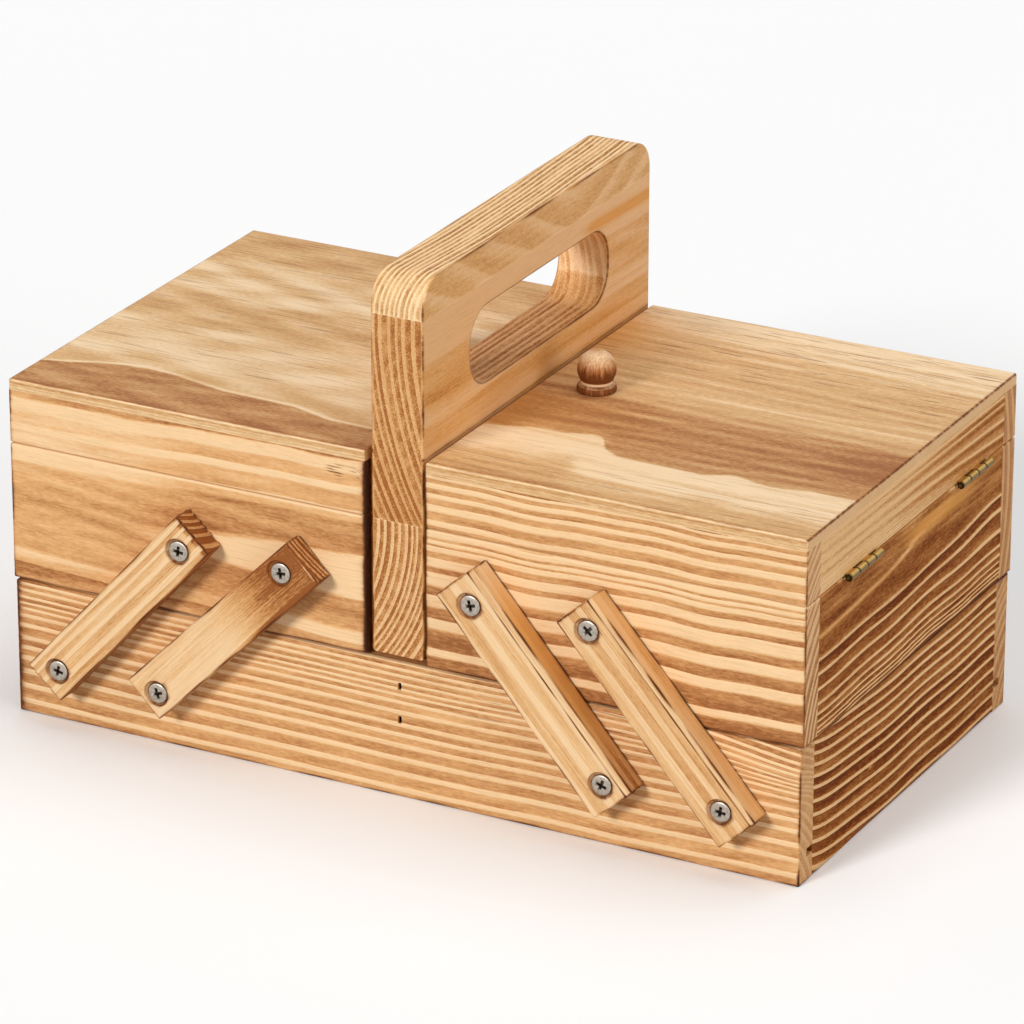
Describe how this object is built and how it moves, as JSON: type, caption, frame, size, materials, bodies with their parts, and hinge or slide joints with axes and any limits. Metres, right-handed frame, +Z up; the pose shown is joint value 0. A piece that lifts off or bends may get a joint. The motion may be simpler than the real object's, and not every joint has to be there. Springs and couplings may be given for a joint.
{
  "type": "sewing carrier with two lids",
  "caption": "Wooden cantilever sewing carrier: pivoting arms swing lidded trays outwards from a base that is divided by an upright carrying handle.",
  "frame": {"origin": "on the table, under the middle of the base", "axes": "+X to the right along the length, -Y towards the front with the two brads, +Z up"},
  "size_m": [0.3108, 0.1874, 0.1884],
  "materials": {
    "flamed_pine": "flamed and brushed pine, clear satin coat, raised dark grain",
    "lid_pine": "flamed pine, smooth satin coat, broad figure",
    "handle_pine": "lightly flamed pine, glued up from three boards, satin coat",
    "arm_pine": "pale pine with darker edges, satin coat",
    "panel_ply": "thin pale plywood, raw",
    "knob_wood": "turned wood with scorched rings, satin coat",
    "screw_steel": "bright zinc-plated steel with a cross recess",
    "small_steel": "plain steel",
    "hinge_brass": "thin brass-plated steel, slightly tarnished"
  },
  "bodies": {
    "base": {"base_front_board": "flamed_pine", "base_back_board": "flamed_pine", "base_left_end": "flamed_pine", "base_right_end": "flamed_pine", "base_bottom_panel": "panel_ply", "handle_lower_board": "handle_pine", "handle_middle_board": "handle_pine", "handle_top_board": "handle_pine", "handle_brads": "small_steel", "base_arm_screws": "screw_steel"},
    "left_tray": {"left_tray_front": "flamed_pine", "left_tray_back": "flamed_pine", "left_tray_outer_end": "flamed_pine", "left_tray_inner_end": "flamed_pine", "left_tray_bottom_panel": "panel_ply", "left_tray_arm_screws": "screw_steel", "left_tray_hinge_screws": "small_steel", "left_hinge_tray_leaves": "hinge_brass", "left_hinge_pins": "hinge_brass"},
    "left_lid": {"left_lid_panel": "lid_pine", "left_lid_front_strip": "flamed_pine", "left_lid_back_strip": "flamed_pine", "left_lid_outer_strip": "flamed_pine", "left_lid_inner_strip": "flamed_pine", "left_lid_knob": "knob_wood", "left_lid_knob_screw": "small_steel", "left_lid_hinge_screws": "small_steel", "left_hinge_lid_leaves": "hinge_brass"},
    "left_arm_front_outer": {"left_arm_front_outer": "arm_pine"},
    "left_arm_front_inner": {"left_arm_front_inner": "arm_pine"},
    "left_arm_back_outer": {"left_arm_back_outer": "arm_pine"},
    "left_arm_back_inner": {"left_arm_back_inner": "arm_pine"},
    "right_tray": {"right_tray_front": "flamed_pine", "right_tray_back": "flamed_pine", "right_tray_outer_end": "flamed_pine", "right_tray_inner_end": "flamed_pine", "right_tray_bottom_panel": "panel_ply", "right_tray_arm_screws": "screw_steel", "right_tray_hinge_screws": "small_steel", "right_hinge_tray_leaves": "hinge_brass", "right_hinge_pins": "hinge_brass"},
    "right_lid": {"right_lid_panel": "lid_pine", "right_lid_front_strip": "flamed_pine", "right_lid_back_strip": "flamed_pine", "right_lid_outer_strip": "flamed_pine", "right_lid_inner_strip": "flamed_pine", "right_lid_knob": "knob_wood", "right_lid_knob_screw": "small_steel", "right_lid_hinge_screws": "small_steel", "right_hinge_lid_leaves": "hinge_brass"},
    "right_arm_front_outer": {"right_arm_front_outer": "arm_pine"},
    "right_arm_front_inner": {"right_arm_front_inner": "arm_pine"},
    "right_arm_back_outer": {"right_arm_back_outer": "arm_pine"},
    "right_arm_back_inner": {"right_arm_back_inner": "arm_pine"}
  },
  "joints": [
    {"name": "left_arm_swing", "type": "hinge", "parent": "base", "child": "left_arm_front_outer", "pos_m": [-0.12987, -0.0893, 0.02283], "axis": [0, -1, 0], "range_deg": [0, 84]},
    {"name": "left_front_inner_arm_follow", "type": "hinge", "parent": "base", "child": "left_arm_front_inner", "pos_m": [-0.08968, -0.0893, 0.02283], "axis": [0, -1, 0], "range_deg": [0, 84]},
    {"name": "left_back_outer_arm_follow", "type": "hinge", "parent": "base", "child": "left_arm_back_outer", "pos_m": [-0.12987, 0.0893, 0.02283], "axis": [0, -1, 0], "range_deg": [0, 84]},
    {"name": "left_back_inner_arm_follow", "type": "hinge", "parent": "base", "child": "left_arm_back_inner", "pos_m": [-0.08968, 0.0893, 0.02283], "axis": [0, -1, 0], "range_deg": [0, 84]},
    {"name": "left_tray_level", "type": "hinge", "parent": "left_arm_front_outer", "child": "left_tray", "pos_m": [-0.08023, -0.0893, 0.07797], "axis": [0, -1, 0], "range_deg": [-84, 0]},
    {"name": "left_lid_hinge", "type": "hinge", "parent": "left_tray", "child": "left_lid", "pos_m": [-0.1541, 0, 0.1014], "axis": [0, -1, 0], "range_deg": [0, 180]},
    {"name": "right_arm_swing", "type": "hinge", "parent": "base", "child": "right_arm_front_outer", "pos_m": [0.12673, -0.0893, 0.02583], "axis": [0, 1, 0], "range_deg": [0, 84]},
    {"name": "right_front_inner_arm_follow", "type": "hinge", "parent": "base", "child": "right_arm_front_inner", "pos_m": [0.08253, -0.0893, 0.02583], "axis": [0, 1, 0], "range_deg": [0, 84]},
    {"name": "right_back_outer_arm_follow", "type": "hinge", "parent": "base", "child": "right_arm_back_outer", "pos_m": [0.12673, 0.0893, 0.02583], "axis": [0, 1, 0], "range_deg": [0, 84]},
    {"name": "right_back_inner_arm_follow", "type": "hinge", "parent": "base", "child": "right_arm_back_inner", "pos_m": [0.08253, 0.0893, 0.02583], "axis": [0, 1, 0], "range_deg": [0, 84]},
    {"name": "right_tray_level", "type": "hinge", "parent": "right_arm_front_outer", "child": "right_tray", "pos_m": [0.07708, -0.0893, 0.08097], "axis": [0, 1, 0], "range_deg": [-84, 0]},
    {"name": "right_lid_hinge", "type": "hinge", "parent": "right_tray", "child": "right_lid", "pos_m": [0.1541, 0, 0.1014], "axis": [0, 1, 0], "range_deg": [0, 180]}
  ],
  "couplings": [
    {"joint": "left_front_inner_arm_follow", "follows": "left_arm_swing", "ratio": 1},
    {"joint": "left_back_outer_arm_follow", "follows": "left_arm_swing", "ratio": 1},
    {"joint": "left_back_inner_arm_follow", "follows": "left_arm_swing", "ratio": 1},
    {"joint": "left_tray_level", "follows": "left_arm_swing", "ratio": -1},
    {"joint": "right_front_inner_arm_follow", "follows": "right_arm_swing", "ratio": 1},
    {"joint": "right_back_outer_arm_follow", "follows": "right_arm_swing", "ratio": 1},
    {"joint": "right_back_inner_arm_follow", "follows": "right_arm_swing", "ratio": 1},
    {"joint": "right_tray_level", "follows": "right_arm_swing", "ratio": -1}
  ]
}
